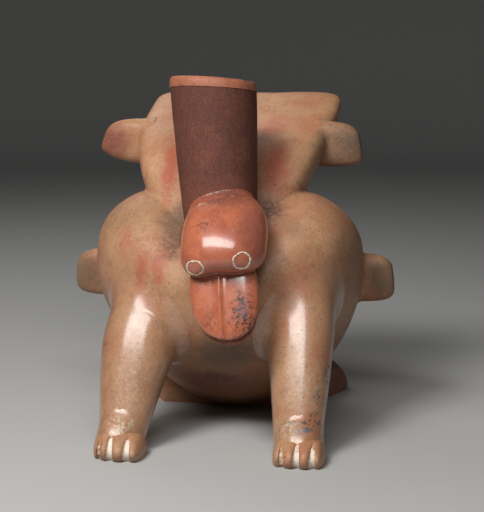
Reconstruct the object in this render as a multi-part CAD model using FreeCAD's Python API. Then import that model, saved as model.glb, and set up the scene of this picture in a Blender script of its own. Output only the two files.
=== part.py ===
"""A burnished earthenware vessel in the shape of a recliner, in the pieces that its potter built it from.

Millimetres, +Z up, +X to the viewer's right, and the bird's head looks along -Y. The origin is on the
ground under the middle of the vessel's box. The vessel is hollow: a globular body of a bowl, a wall band
and a dome luted at two seams, an open recliner of two slabs that rises from it and sweeps back, and a spout
that opens into the body. Head, bill, legs, feet, toes, lugs and the rear rest are modelled apart and luted on.
"""
import FreeCAD
import Part
import math
import os

V = FreeCAD.Vector

# Clay walls, and the seams between pieces that only lie side by side
BODY_WALL = 6.5
RECLINER_WALL = 6.0
SPOUT_WALL = 5.0
SIDE_CLEARANCE = 0.3
OVERRUN = 5.0

# Globular body: rings across Y, from the chest to the back
BODY_FRONT_Y = -76.0
BODY_BACK_Y = 98.0
BODY_MIDDLE_Y = (BODY_FRONT_Y + BODY_BACK_Y) / 2
BODY_HALF_LENGTH = (BODY_BACK_Y - BODY_FRONT_Y) / 2
BODY_HALF_WIDTH = 97.0
BODY_SWAY = 1.5
BODY_TOP_DEPTH = 61.0
BODY_BOWL_Z = 84.0
BODY_BAND_HEIGHT = 35.0
# Height of the widest line, and depth of the belly below it: at the chest, the middle and the back
BODY_WIDEST_Z = (104.0, 111.0, 62.0)
BODY_BELLY_DEPTH = (78.0, 102.0, 122.0)
# How far the back between the shoulders dips: at the chest, the middle and the back
SHOULDER_DIP = (34.0, 18.0, 8.0)
BODY_LENGTH_EXPONENT = 2.3
BODY_SHOULDER_EXPONENT = 2.7
BODY_BELLY_EXPONENT = 1.82
SHOULDER_DIP_HALF_WIDTH_SHARE = 0.68

# Recliner: rings along a spine that climbs steeply out of the body and then lies back
RECLINER_ROOT_Y = -27.0
RECLINER_ROOT_Z = 112.0
RECLINER_RUN = 124.0
RECLINER_RISE = 118.0
RECLINER_HALF_WIDTH = 73.0
RECLINER_HALF_THICKNESS = 32.0
RECLINER_VALLEY = 10.0
RECLINER_SWAY = 4.0
RECLINER_EXPONENT = 2.7
RECLINER_VALLEY_EXPONENT = 1.5
# Places and sizes at five stations along the spine
SPINE_RUN_SHARES = (0.0, 0.12, 0.31, 0.63, 1.0)
SPINE_RISE_SHARES = (0.0, 0.29, 0.60, 0.82, 1.0)
RECLINER_WIDTH_SHARES = (0.50, 0.66, 0.88, 0.98, 0.98)
RECLINER_THICKNESS_SHARES = (1.0, 0.95, 0.78, 0.55, 0.38)
RECLINER_VALLEY_SHARES = (0.0, 0.5, 1.0, 1.0, 0.5)
RECLINER_SWAY_SHARES = (0.5, -0.2, -0.4, 0.3, 1.3)
RECLINER_EDGE_SHARE = 0.90
RECLINER_EDGE_END_SHARE = 0.35
# How far apart two places on the spine are compared to find its direction
SPINE_STEP_SHARE = 0.01

# Spout: a flaring tube that leans back and to one side, and whose root bends back into the body
SPOUT_RIM = V(-4.5, -33.0, 248.0)
SPOUT_RIM_FACING = V(0.05, 0.13, 0.99)
SPOUT_FOOT = V(3.5, -50.0, 150.0)
SPOUT_ROOT_DEPTH = 34.0
SPOUT_ROOT_BEND = 13.0
SPOUT_RIM_RADIUS = 30.5
SPOUT_FOOT_RADIUS = 24.5
SPOUT_LIP_HEIGHT = 7.0
SPOUT_LIP_OVERHANG = 0.6
SPOUT_LIP_ROUNDING = 2.4
SPOUT_FLARE_EXPONENT = 0.7

# Bird's head and bill
HEAD_CENTRE = V(10.5, -79.0, 146.0)
HEAD_RADII = V(29.5, 31.0, 30.0)
HEAD_WALL = 9.0
# How squarely the cheeks run down into the bill: the exponent of the face's lower half, seen from the front
CHEEK_EXPONENT = 3.8
# How far down the cheeks are still drawn out, as a share of the head's half height
CHEEK_END_SHARE = 0.995
BILL_TOP_Z = 127.0
BILL_TIP_Z = 80.0
BILL_TOP_Y = -87.0
BILL_TIP_Y = -106.0
BILL_SWAY = 5.0
BILL_HALF_WIDTH = 23.8
BILL_FRONT_DEPTH = 8.0
BILL_BACK_DEPTH = 4.0
BILL_RIDGE = 2.6
BILL_RIDGE_WIDTH_SHARE = 0.2
BILL_EXPONENT = 2.2
BILL_WIDTH_SHARES = (0.86, 0.98, 0.97, 0.88, 0.71, 0.42)
BILL_PLACE_SHARES = (0.0, 0.2, 0.44, 0.68, 0.86, 0.965)
LOWER_BILL_DROP = 4.0
LOWER_BILL_LENGTH = 34.0
LOWER_BILL_HALF_WIDTH = 18.0
LOWER_BILL_DEPTH = 6.0
# How much of the upper bill's lean and sway the lower bill follows, and how thick its tip is
LOWER_BILL_LEAN_SHARE = 0.8
LOWER_BILL_SWAY_SHARE = 0.6
LOWER_BILL_TIP_SHARE = 0.4
EYE_OUTER_RADIUS = 6.4
EYE_LINE = 1.2
EYE_DEPTH = 1.2
# Where each eye lies across and below the middle of the face
EYE_PLACES = {"left": (-16.8, -18.8), "right": (14.8, -13.2)}

# Legs, feet and toes. The legs stand at shares of the body's half-width.
LEG_ROOT_SHARE = 0.515
LEG_KNEE_SHARE = 0.557
LEG_ANKLE_SHARE = 0.624
LEG_ROOT = V(BODY_HALF_WIDTH * LEG_ROOT_SHARE, -28.0, 112.0)
LEG_KNEE = V(BODY_HALF_WIDTH * LEG_KNEE_SHARE, -60.0, 72.0)
LEG_ANKLE = V(BODY_HALF_WIDTH * LEG_ANKLE_SHARE, -99.0, 6.0)
LEG_STEP_SHARE = 0.01
LEG_SWAYS = (6.0, 6.0, 2.5)
LEG_ROOT_RADIUS = 26.0
LEG_KNEE_RADIUS = 21.5
LEG_ANKLE_RADIUS = 16.5
SHIN_BULGE = 3.5
# The left leg bows out at the calf and is fuller there: how far, and where along the leg
CALF_BOW = 3.4
CALF_SWELL = 3.2
CALF_PLACE_SHARE = 0.58
CALF_REACH_SHARE = 0.42
FOOT_LENGTH = 46.0
FOOT_WIDTH = 35.5
FOOT_HEIGHT = 25.0
TOE_TIP_Y = -132.0
TOE_COUNT = 4
TOE_LENGTH = 24.0
TOE_HEIGHT = 16.0
TOE_MIDDLE_Z = 4.0
TOE_STANDOUT = 8.5
TOE_ARC = 2.5

# Lugs: how far they stand out from the body and the recliner, and the tabs' own sizes
LOWER_LUG_STANDOUT = 27.9
UPPER_LUG_STANDOUT = 31.5
UPPER_LUG_SWAY = -4.0
LUG_BITE = 10.0
LOWER_LUG_HEIGHT = 37.0
UPPER_LUG_HEIGHT = 34.0
LUG_THICKNESS = 17.0
LOWER_LUG_Y = 36.0
LOWER_LUG_Z = 100.0
# The upper lugs stand at a share of the recliner's spine, a little below it
UPPER_LUG_SPINE_SHARE = 0.69
UPPER_LUG_DROP = 4.5
# How far each upper lug's outer edge leans out towards the bottom, and the share of its lower half that is
# gone at the tip
UPPER_LUG_LEANS = {"left": 5.3, "right": 3.0}
UPPER_LUG_TAPER_SHARES = {"left": 0.42, "right": 0.0}
LUG_EXPONENT = 2.6
LUG_TIP_EXPONENT = 4.0

# Rear rest: a low apron of clay on the ground behind the body, as wide as a share of the body
REST_FRONT_Y = 34.0
REST_BACK_Y = 132.0
REST_BODY_SHARE = 0.9
REST_HALF_WIDTH = BODY_HALF_WIDTH * REST_BODY_SHARE
REST_EXPONENT = 2.3
REST_HEIGHT = 52.0
REST_WIDTH_SHARES = (0.60, 0.68, 0.81, 0.96, 0.84, 0.45)
REST_HEIGHT_SHARES = (0.25, 0.60, 0.95, 0.72, 0.38, 0.16)
REST_PLACE_SHARES = (0.0, 0.1, 0.35, 0.65, 0.88, 1.0)

# How finely the rounded forms are drawn
RING_POINTS = 32
SMALL_RING_POINTS = 20
BODY_RINGS = 14
RECLINER_RINGS = 13
LIMB_RINGS = 7
DOME_RINGS = 9
SPOUT_RINGS = 8


def squared(turn, exponent):
    """Cosine and sine of a turn, squared off as a superellipse of this exponent."""
    c, s = math.cos(turn), math.sin(turn)
    power = 2 / exponent
    return math.copysign(abs(c) ** power, c), math.copysign(abs(s) ** power, s)


def parabola(values, along):
    """The value at along, from -1 to 1, on the parabola through three values at -1, 0 and 1."""
    first, middle, last = values
    return middle + (last - first) / 2 * along + ((first + last) / 2 - middle) * along ** 2


def eased(shares, at):
    """The value at a share of the way through evenly spaced shares, eased by a Catmull-Rom curve."""
    place = min(max(at, 0.0), 1.0) * (len(shares) - 1)
    i = min(int(place), len(shares) - 2)
    t = place - i
    before, here = shares[max(i - 1, 0)], shares[i]
    there, after = shares[i + 1], shares[min(i + 2, len(shares) - 1)]
    return 0.5 * (2 * here + (there - before) * t
                  + (2 * before - 5 * here + 4 * there - after) * t ** 2
                  + (3 * here - before - 3 * there + after) * t ** 3)


def ring(points):
    """A smooth closed wire drawn towards the points."""
    count = len(points)
    curve = Part.BSplineCurve()
    knots = [i / count for i in range(count + 1)]
    curve.buildFromPolesMultsKnots(points, [1] * (count + 1), knots, True, 3)
    return Part.Wire(curve.toShape())


def turns(count):
    return [2 * math.pi * k / count for k in range(count)]


def loft(rings):
    return Part.makeLoft(rings, True, False)


def ground_cut(shape, level=0.0):
    """The part of the shape above a level plane."""
    box = shape.BoundBox
    size = box.DiagonalLength
    slab = Part.makeBox(size, size, size, V(box.Center.x - size / 2, box.Center.y - size / 2, level - size))
    return shape.cut(slab)


def body_swell(along):
    """How full the body is, as a share of its fullest, from -1 at the chest to 1 at the back."""
    return (1 - abs(along) ** BODY_LENGTH_EXPONENT) ** (1 / BODY_LENGTH_EXPONENT)


def body_form(inset):
    """The globular body: rings across Y, swelling and closing as a superellipse from chest to back."""
    rings = []
    for step in range(BODY_RINGS + 1):
        along = -math.cos(math.pi * step / BODY_RINGS)
        y = BODY_MIDDLE_Y + (BODY_HALF_LENGTH - inset) * along
        widest_z = parabola(BODY_WIDEST_Z, along)
        if step in (0, BODY_RINGS):
            rings.append(Part.Vertex(V(BODY_SWAY, y, widest_z)))
            continue
        swell = body_swell(along)
        width = (BODY_HALF_WIDTH - inset) * swell
        top = (BODY_TOP_DEPTH - inset) * swell
        belly = (parabola(BODY_BELLY_DEPTH, along) - inset) * swell
        dip = parabola(SHOULDER_DIP, along) * swell
        dip_width = BODY_HALF_WIDTH * SHOULDER_DIP_HALF_WIDTH_SHARE
        points = []
        for turn in turns(RING_POINTS):
            upper = math.sin(turn) > 0
            c, s = squared(turn, BODY_SHOULDER_EXPONENT if upper else BODY_BELLY_EXPONENT)
            x = width * c
            z = widest_z + (top if upper else belly) * s
            if upper and abs(x) < dip_width:
                z -= dip * (1 - (x / dip_width) ** 2) ** 2
            points.append(V(BODY_SWAY + x, y, z))
        rings.append(ring(points))
    return loft(rings)


def spine_point(share):
    """Middle of the recliner's thickness at a share of its spine."""
    return V(RECLINER_SWAY * eased(RECLINER_SWAY_SHARES, share),
             RECLINER_ROOT_Y + RECLINER_RUN * eased(SPINE_RUN_SHARES, share),
             RECLINER_ROOT_Z + RECLINER_RISE * eased(SPINE_RISE_SHARES, share))


def spine_normal(share):
    """Unit vector square to the spine, towards the face that one leans on."""
    run = spine_point(min(share + SPINE_STEP_SHARE, 1)) - spine_point(max(share - SPINE_STEP_SHARE, 0))
    normal = V(0, -run.z, run.y)
    return normal.normalize()


def recliner_form(inset):
    """The recliner: rings along its bent spine, wide and hollowed on the face, closing to a rounded edge."""
    rings = []
    length = spine_point(1).distanceToPoint(spine_point(0))
    last = 1 - inset / length
    for step in range(RECLINER_RINGS + 1):
        share = last * math.sin(math.pi / 2 * step / RECLINER_RINGS)
        centre, normal = spine_point(share), spine_normal(share)
        half_width = RECLINER_HALF_WIDTH * eased(RECLINER_WIDTH_SHARES, share) - inset
        half_thickness = RECLINER_HALF_THICKNESS * eased(RECLINER_THICKNESS_SHARES, share) - inset
        valley = RECLINER_VALLEY * eased(RECLINER_VALLEY_SHARES, share)
        past = max(share / last - RECLINER_EDGE_SHARE, 0) / (1 - RECLINER_EDGE_SHARE)
        rounding = max(math.sqrt(max(1 - past ** 2, 0)), RECLINER_EDGE_END_SHARE)
        corner = half_thickness * (1 - rounding)
        points = []
        for turn in turns(RING_POINTS):
            c, s = squared(turn, RECLINER_EXPONENT)
            rise = half_thickness * rounding * s
            if s > 0:
                rise -= valley * rounding * (1 - c ** 2) ** RECLINER_VALLEY_EXPONENT
            points.append(centre + V((half_width - corner) * c, 0, 0) + normal * rise)
        rings.append(ring(points))
    return loft(rings)


def spine_front():
    """All the space on the leaning side of the recliner's spine."""
    reach = RECLINER_HALF_WIDTH * 2
    line = [spine_point(step / RECLINER_RINGS) for step in range(RECLINER_RINGS + 1)]
    first = line[0] - (line[1] - line[0]).normalize() * reach
    last = line[-1] + (line[-1] - line[-2]).normalize() * reach
    flat = [V(-reach, p.y, p.z) for p in line]
    start, end = V(-reach, first.y, first.z), V(-reach, last.y, last.z)
    curve = Part.BSplineCurve()
    curve.interpolate(flat)
    top = V(-reach, start.y, end.z + reach)
    far = V(-reach, end.y, end.z + reach)
    edges = [Part.makeLine(start, flat[0]), curve.toShape(), Part.makeLine(flat[-1], end),
             Part.makeLine(end, far), Part.makeLine(far, top), Part.makeLine(top, start)]
    return Part.Face(Part.Wire(edges)).extrude(V(2 * reach, 0, 0))


def spout_length():
    return SPOUT_RIM.distanceToPoint(SPOUT_FOOT)


def spout_ring(share, radius):
    """A round ring about the spout's axis; the rings turn from square to the axis to the tilt of the rim."""
    turn = min(max(share, 0), 1) ** 2
    axis = (SPOUT_RIM - SPOUT_FOOT).normalize()
    facing = (axis * (1 - turn) + SPOUT_RIM_FACING * turn).normalize()
    across = V(0, 1, 0).cross(facing).normalize()
    along = facing.cross(across)
    sunk = max(-share, 0) * spout_length() / SPOUT_ROOT_DEPTH
    centre = SPOUT_FOOT + (SPOUT_RIM - SPOUT_FOOT) * share + V(0, SPOUT_ROOT_BEND * sunk ** 2, 0)
    return ring([centre + across * (radius * math.cos(a)) + along * (radius * math.sin(a))
                 for a in turns(RING_POINTS)])


def spout_radius(share):
    """Outer radius at a share of the spout: it flares quickly at first and then evenly to the rim."""
    return SPOUT_FOOT_RADIUS + (SPOUT_RIM_RADIUS - SPOUT_FOOT_RADIUS) * max(share, 0) ** SPOUT_FLARE_EXPONENT


def spout_form(inset, low, high):
    """The tube's solid form between two shares of the spout, drawn in by the inset."""
    shares = [low + (high - low) * i / SPOUT_RINGS for i in range(SPOUT_RINGS + 1)]
    return loft([spout_ring(share, spout_radius(share) - inset) for share in shares])


def lip_form(low):
    """The lip's solid form: a coil laid on the tube, rounded over on top."""
    rings = []
    for step in range(SPOUT_RINGS + 1):
        turn = step / SPOUT_RINGS
        share = low + (1 - low) * math.sin(math.pi / 2 * turn)
        rounding = SPOUT_LIP_ROUNDING * (1 - math.cos(math.pi / 2 * turn))
        rings.append(spout_ring(share, spout_radius(share) + SPOUT_LIP_OVERHANG - rounding))
    return loft(rings)


def cheek(height):
    """How much wider than a ball's the head is at a share of its half height above its middle."""
    low = min(max(-height, 0.0), CHEEK_END_SHARE)
    return (1 - low ** CHEEK_EXPONENT) ** (1 / CHEEK_EXPONENT) / math.sqrt(1 - low ** 2)


def head_form(inset):
    """The head's ball, drawn in by the inset: rings across Y, fuller at the cheeks than an ellipsoid."""
    radii = HEAD_RADII - V(inset, inset, inset)
    rings = []
    for step in range(DOME_RINGS + 1):
        turn = math.pi * step / DOME_RINGS
        y = HEAD_CENTRE.y - radii.y * math.cos(turn)
        r = math.sin(turn)
        if step in (0, DOME_RINGS):
            rings.append(Part.Vertex(V(HEAD_CENTRE.x, y, HEAD_CENTRE.z)))
            continue
        points = []
        for a in turns(RING_POINTS):
            height = r * math.sin(a)
            points.append(V(HEAD_CENTRE.x + radii.x * r * math.cos(a) * cheek(height), y,
                            HEAD_CENTRE.z + radii.z * height))
        rings.append(ring(points))
    return loft(rings)


def ellipsoid(centre, radii, points=SMALL_RING_POINTS):
    """An ellipsoid, lofted from rings across Y."""
    rings = []
    for step in range(DOME_RINGS + 1):
        turn = math.pi * step / DOME_RINGS
        y = centre.y - radii.y * math.cos(turn)
        r = math.sin(turn)
        if step in (0, DOME_RINGS):
            rings.append(Part.Vertex(V(centre.x, y, centre.z)))
            continue
        rings.append(ring([V(centre.x + radii.x * r * math.cos(a), y, centre.z + radii.z * r * math.sin(a))
                           for a in turns(points)]))
    return loft(rings)


def upper_bill_form():
    """The upper bill: level rings from inside the head down to a round tip, ridged along the front."""
    rings = []
    for place, width_share in zip(BILL_PLACE_SHARES, BILL_WIDTH_SHARES):
        half_width = BILL_HALF_WIDTH * width_share
        z = BILL_TOP_Z + (BILL_TIP_Z - BILL_TOP_Z) * place
        y = BILL_TOP_Y + (BILL_TIP_Y - BILL_TOP_Y) * place
        x0 = HEAD_CENTRE.x + BILL_SWAY * place
        thin = math.sqrt(width_share)
        points = []
        for turn in turns(RING_POINTS):
            c, s = squared(turn, BILL_EXPONENT)
            depth = BILL_BACK_DEPTH if s > 0 else BILL_FRONT_DEPTH
            ridge = BILL_RIDGE * math.exp(-(c / BILL_RIDGE_WIDTH_SHARE) ** 2) if s < 0 else 0.0
            points.append(V(x0 + half_width * c, y + depth * thin * s - ridge * thin, z))
        rings.append(ring(points))
    rings.append(Part.Vertex(V(HEAD_CENTRE.x + BILL_SWAY, BILL_TIP_Y, BILL_TIP_Z)))
    return loft(rings)


def lower_bill_form():
    """The lower bill: a thin rounded plate behind the upper one, a little longer."""
    tip = V(HEAD_CENTRE.x + BILL_SWAY, BILL_TIP_Y + BILL_BACK_DEPTH, BILL_TIP_Z - LOWER_BILL_DROP)
    rings = [Part.Vertex(tip)]
    for step in range(1, LIMB_RINGS):
        share = step / (LIMB_RINGS - 1)
        swell = math.sqrt(1 - (1 - share) ** 2)
        half_width = LOWER_BILL_HALF_WIDTH * swell
        half_depth = LOWER_BILL_DEPTH / 2 * (LOWER_BILL_TIP_SHARE + (1 - LOWER_BILL_TIP_SHARE) * swell)
        x = tip.x - BILL_SWAY * LOWER_BILL_SWAY_SHARE * share
        y = tip.y + (BILL_TOP_Y - BILL_TIP_Y) * LOWER_BILL_LEAN_SHARE * share
        z = tip.z + LOWER_BILL_LENGTH * share
        points = [V(x + half_width * math.cos(a), y + half_depth * math.sin(a), z)
                  for a in turns(SMALL_RING_POINTS)]
        rings.append(ring(points))
    return loft(rings)


def eye_form(side, head, core):
    """A ring of white filling, flush in the head's surface."""
    across, below = EYE_PLACES[side]
    half_width = HEAD_RADII.x * cheek(below / HEAD_RADII.z)
    flat = (across / half_width) ** 2 + (below / HEAD_RADII.z) ** 2
    out = V(across, -HEAD_RADII.y * math.sqrt(1 - flat), below)
    surface = HEAD_CENTRE + out
    normal = V(out.x / half_width ** 2, out.y / HEAD_RADII.y ** 2, out.z / HEAD_RADII.z ** 2).normalize()
    base = surface - normal * (EYE_DEPTH + OVERRUN)
    height = EYE_DEPTH + 2 * OVERRUN
    band = Part.makeCylinder(EYE_OUTER_RADIUS, height, base, normal)
    band = band.cut(Part.makeCylinder(EYE_OUTER_RADIUS - EYE_LINE, height, base, normal))
    return band.common(head).cut(core)


def leg_places(side):
    """Middles of the leg's root, knee and ankle."""
    places = (LEG_ROOT, LEG_KNEE, LEG_ANKLE)
    return [V(side * p.x + sway, p.y, p.z) for p, sway in zip(places, LEG_SWAYS)]


def leg_centre(side, along):
    """Middle of the leg on the curve through its root at -1, knee at 0 and ankle at 1."""
    root, knee, ankle = leg_places(side)
    return V(*(parabola((root[i], knee[i], ankle[i]), along) for i in range(3)))


def leg_form(side):
    """A leg: rings along its curve from inside the body to inside the foot, where they lie level."""
    rings = []
    count = 2 * LIMB_RINGS
    for step in range(count + 1):
        share = step / count
        along = 2 * share - 1
        centre = leg_centre(side, along)
        run = (leg_centre(side, along + LEG_STEP_SHARE) - centre).normalize()
        facing = (run * (1 - share ** 2) - V(0, 0, share ** 2)).normalize()
        front = facing.cross(V(1, 0, 0)).normalize()
        across = front.cross(facing).normalize()
        radius = parabola((LEG_ROOT_RADIUS, LEG_KNEE_RADIUS, LEG_ANKLE_RADIUS), along)
        bulge = SHIN_BULGE * math.sin(math.pi * share) ** 2
        if side < 0:
            calf = max(1 - ((share - CALF_PLACE_SHARE) / CALF_REACH_SHARE) ** 2, 0) ** 2
            centre -= V(CALF_BOW * calf, 0, 0)
            radius += CALF_SWELL * calf
        points = []
        for turn in turns(SMALL_RING_POINTS):
            reach = radius + bulge * (1 - math.sin(turn)) / 2
            points.append(centre + across * (reach * math.cos(turn)) + front * (reach * math.sin(turn)))
        rings.append(ring(points))
    return loft(rings)


def foot_centre(side):
    """Middle of the foot's sole, straight under the ankle and behind the toes."""
    ankle = leg_places(side)[-1]
    return V(ankle.x, TOE_TIP_Y + TOE_STANDOUT + FOOT_LENGTH / 2, 0)


def foot_form(side):
    """A foot: the upper half of a long dome on the ground."""
    dome = ellipsoid(foot_centre(side), V(FOOT_WIDTH / 2, FOOT_LENGTH / 2, FOOT_HEIGHT))
    return ground_cut(dome)


def toe_forms(side):
    """Four toes side by side, the middle ones reaching furthest."""
    centre = foot_centre(side)
    pitch = FOOT_WIDTH / TOE_COUNT
    toes = []
    for index in range(TOE_COUNT):
        across = index - (TOE_COUNT - 1) / 2
        back = TOE_ARC * (abs(across) / ((TOE_COUNT - 1) / 2)) ** 2
        middle = V(centre.x + across * pitch, TOE_TIP_Y + TOE_LENGTH / 2 + back, TOE_MIDDLE_Z)
        radii = V((pitch - SIDE_CLEARANCE) / 2, TOE_LENGTH / 2, TOE_HEIGHT - TOE_MIDDLE_Z)
        toes.append(ground_cut(ellipsoid(middle, radii)))
    return toes


def lug_form(root, tip, height, lean=0.0, taper=0.0):
    """A lug: a rounded tab from its root out to its tip. Its outer edge leans out towards the bottom, and its
    lower half tapers."""
    side = math.copysign(1, tip.x - root.x)
    rings = []
    for step in range(LIMB_RINGS):
        share = math.sin(math.pi / 2 * step / LIMB_RINGS)
        rounding = (1 - share ** LUG_TIP_EXPONENT) ** (1 / LUG_TIP_EXPONENT)
        centre = root + (tip - root) * share
        points = []
        for turn in turns(SMALL_RING_POINTS):
            c, s = squared(turn, LUG_EXPONENT)
            if s < 0:
                s *= 1 - taper * share ** 2
            s *= rounding
            points.append(centre + V(-side * lean * (1 + s) * share, LUG_THICKNESS / 2 * rounding * c,
                                     height / 2 * s))
        rings.append(ring(points))
    rings.append(Part.Vertex(tip - V(side * lean, 0, 0)))
    return loft(rings)


def lower_lug(side):
    """A lug rooted in the side of the globular body."""
    half_width = BODY_HALF_WIDTH * body_swell((LOWER_LUG_Y - BODY_MIDDLE_Y) / BODY_HALF_LENGTH)
    root_x = BODY_SWAY + side * (half_width - LUG_BITE)
    tip_x = side * (half_width + LOWER_LUG_STANDOUT)
    return lug_form(V(root_x, LOWER_LUG_Y, LOWER_LUG_Z), V(tip_x, LOWER_LUG_Y, LOWER_LUG_Z), LOWER_LUG_HEIGHT)


def upper_lug(name, side):
    """A lug rooted in the side of the recliner."""
    place = spine_point(UPPER_LUG_SPINE_SHARE) - V(0, 0, UPPER_LUG_DROP)
    half_width = RECLINER_HALF_WIDTH * eased(RECLINER_WIDTH_SHARES, UPPER_LUG_SPINE_SHARE)
    root = place + V(side * (half_width - LUG_BITE), 0, 0)
    tip_x = UPPER_LUG_SWAY + side * (half_width + UPPER_LUG_STANDOUT)
    return lug_form(root, V(tip_x, place.y, place.z), UPPER_LUG_HEIGHT, UPPER_LUG_LEANS[name],
                    UPPER_LUG_TAPER_SHARES[name])


def rest_form():
    """The rear rest: half rings across Y, low and wide, standing on the ground."""
    rings = []
    for place, width_share, height_share in zip(REST_PLACE_SHARES, REST_WIDTH_SHARES, REST_HEIGHT_SHARES):
        y = REST_FRONT_Y + (REST_BACK_Y - REST_FRONT_Y) * place
        points = []
        for turn in turns(RING_POINTS):
            c, s = squared(turn, REST_EXPONENT)
            points.append(V(REST_HALF_WIDTH * width_share * c, y, REST_HEIGHT * height_share * s))
        rings.append(ring(points))
    return ground_cut(loft(rings))


def build():
    """Every piece of the vessel by name."""
    body, chamber = body_form(0), ground_cut(body_form(BODY_WALL), BODY_WALL)
    body = ground_cut(body)
    recliner, hollow = recliner_form(0), recliner_form(RECLINER_WALL)
    spout_low, tube_top = -SPOUT_ROOT_DEPTH / spout_length(), 1 - SPOUT_LIP_HEIGHT / spout_length()
    spout = spout_form(0, spout_low, tube_top)
    bore = spout_form(SPOUT_WALL, spout_low, 1 + OVERRUN / spout_length())
    pieces = {}

    shell = body.cut(chamber).cut(hollow).cut(bore)
    above_bowl = ground_cut(shell, BODY_BOWL_Z)
    pieces["upper_body_shell"] = ground_cut(above_bowl, BODY_BOWL_Z + BODY_BAND_HEIGHT)
    pieces["middle_body_shell"] = above_bowl.cut(pieces["upper_body_shell"])
    pieces["lower_body_shell"] = shell.cut(above_bowl)

    slabs = recliner.cut(hollow).cut(body).cut(bore).cut(spout)
    front = spine_front()
    pieces["recliner_front_slab"] = slabs.common(front)
    pieces["recliner_back_slab"] = slabs.cut(front)

    pieces["spout_tube"] = spout.cut(bore).cut(body)
    pieces["spout_lip"] = lip_form(tube_top).cut(bore)

    head, eye_core = head_form(0), head_form(EYE_DEPTH)
    carried = body.fuse(recliner).fuse(spout)
    shell = head.cut(carried).cut(head_form(HEAD_WALL))
    for side in EYE_PLACES:
        eye = eye_form(side, head, eye_core)
        pieces["eye_ring_" + side] = eye
        shell = shell.cut(eye)
    pieces["head"] = shell
    upper_bill = upper_bill_form().cut(head)
    pieces["upper_bill"] = upper_bill
    pieces["lower_bill"] = lower_bill_form().cut(head).cut(upper_bill)

    for name, side in (("left", -1), ("right", 1)):
        leg = leg_form(side)
        foot = foot_form(side)
        toes = [toe.cut(foot).cut(leg) for toe in toe_forms(side)]
        pieces["leg_" + name] = ground_cut(leg.cut(body))
        pieces["foot_" + name] = foot.cut(leg)
        pieces["toes_" + name] = Part.makeCompound(toes)
        pieces["lower_lug_" + name] = lower_lug(side).cut(body)
        pieces["upper_lug_" + name] = upper_lug(name, side).cut(recliner)

    pieces["rear_rest"] = rest_form().cut(body)
    return pieces


def main():
    os.makedirs("parts", exist_ok=True)
    for name, shape in build().items():
        shape.exportStep("parts/" + name + ".step")
        box = shape.BoundBox
        print(f"{name:22s} solids {len(shape.Solids)} valid {shape.isValid()} "
              f"volume {shape.Volume / 1000:8.1f} cm3 "
              f"x {box.XMin:7.1f} {box.XMax:7.1f} y {box.YMin:7.1f} {box.YMax:7.1f} z {box.ZMin:6.1f} {box.ZMax:6.1f}")


main()
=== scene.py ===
"""A burnished clay vessel in the shape of a recliner, built piece by piece in the order of its potter.

Sizes are in millimetres and turn into metres only where a mesh is made. +Z is up, +X is the viewer's right,
and the bird's head looks along -Y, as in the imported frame. Every piece is a skin: a grid of points worked
out from two parameters. A piece that is luted to another starts on its surface with a fillet of clay.
"""
import math

import bpy
import numpy as np
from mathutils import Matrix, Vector


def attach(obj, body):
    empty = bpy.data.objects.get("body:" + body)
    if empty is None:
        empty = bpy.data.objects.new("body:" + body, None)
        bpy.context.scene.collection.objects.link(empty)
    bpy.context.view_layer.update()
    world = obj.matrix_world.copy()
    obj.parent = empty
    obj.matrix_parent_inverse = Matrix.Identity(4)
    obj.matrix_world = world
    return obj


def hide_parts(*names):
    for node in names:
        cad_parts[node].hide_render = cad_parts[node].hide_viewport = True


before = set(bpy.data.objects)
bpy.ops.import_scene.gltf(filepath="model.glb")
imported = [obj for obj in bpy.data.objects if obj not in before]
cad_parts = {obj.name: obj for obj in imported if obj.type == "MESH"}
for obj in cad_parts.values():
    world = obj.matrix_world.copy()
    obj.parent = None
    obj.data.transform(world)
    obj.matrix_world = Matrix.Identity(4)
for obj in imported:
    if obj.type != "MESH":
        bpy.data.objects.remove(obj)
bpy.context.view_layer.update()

# Studio: a pale paper floor that turns up softly all round, so that no view shows its edge, a key high in
# front on the left for the shades, a wide strip for the gloss, a weak lamp behind, and a long lens.
MM = 0.001
FLOOR_FLAT, FLOOR_REACH, FLOOR_RISE, FLOOR_CURVE = 1900.0, 4200.0, 3600.0, 2.2
CAMERA_AZIMUTH, CAMERA_ELEVATION, CAMERA_DISTANCE = 8.0, 9.0, 1100.0
CAMERA_TARGET = (12.5, -9.0, 121.0)
CAMERA_LENS, CAMERA_SENSOR = 107.5, 36.0


def new_material(name):
    """A material and its one shader."""
    material = bpy.data.materials.new(name)
    material.use_nodes = True
    return material, material.node_tree.nodes["Principled BSDF"]


def skin_mesh(name, material, grid, wraps=True, start=False, end=False, sharp=math.radians(42)):
    """A smooth mesh from a grid of points in millimetres, whose rows run from root to tip and whose columns
    go round the form. A start or end that is true is drawn together to one point. Faces point outwards."""
    rows, cols = grid.shape[:2]
    points = grid.reshape(-1, 3)
    index = np.arange(rows * cols).reshape(rows, cols)
    if wraps:
        index = np.concatenate([index, index[:, :1]], axis=1)
    body = index[int(start):rows - int(end)]
    corners = [body[:-1, :-1], body[:-1, 1:], body[1:, 1:], body[1:, :-1]]
    faces = np.stack(corners, -1).reshape(-1, 4).tolist()
    if start:
        faces += [[index[0, 0], b, a] for a, b in zip(index[1, :-1].tolist(), index[1, 1:].tolist())]
    if end:
        faces += [[a, b, index[-1, 0]] for a, b in zip(index[-2, :-1].tolist(), index[-2, 1:].tolist())]
    first, second, third = (points[[face[i] for face in faces]] for i in range(3))
    if np.einsum("ij,ij->i", first, np.cross(second, third)).sum() < 0:
        faces = [face[::-1] for face in faces]
    mesh = bpy.data.meshes.new(name)
    mesh.from_pydata((points * MM).tolist(), [], faces)
    mesh.validate()
    mesh.shade_smooth()
    mesh.set_sharp_from_angle(angle=sharp)
    mesh.materials.append(material)
    skin = bpy.data.objects.new(name, mesh)
    bpy.context.scene.collection.objects.link(skin)
    return skin


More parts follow.
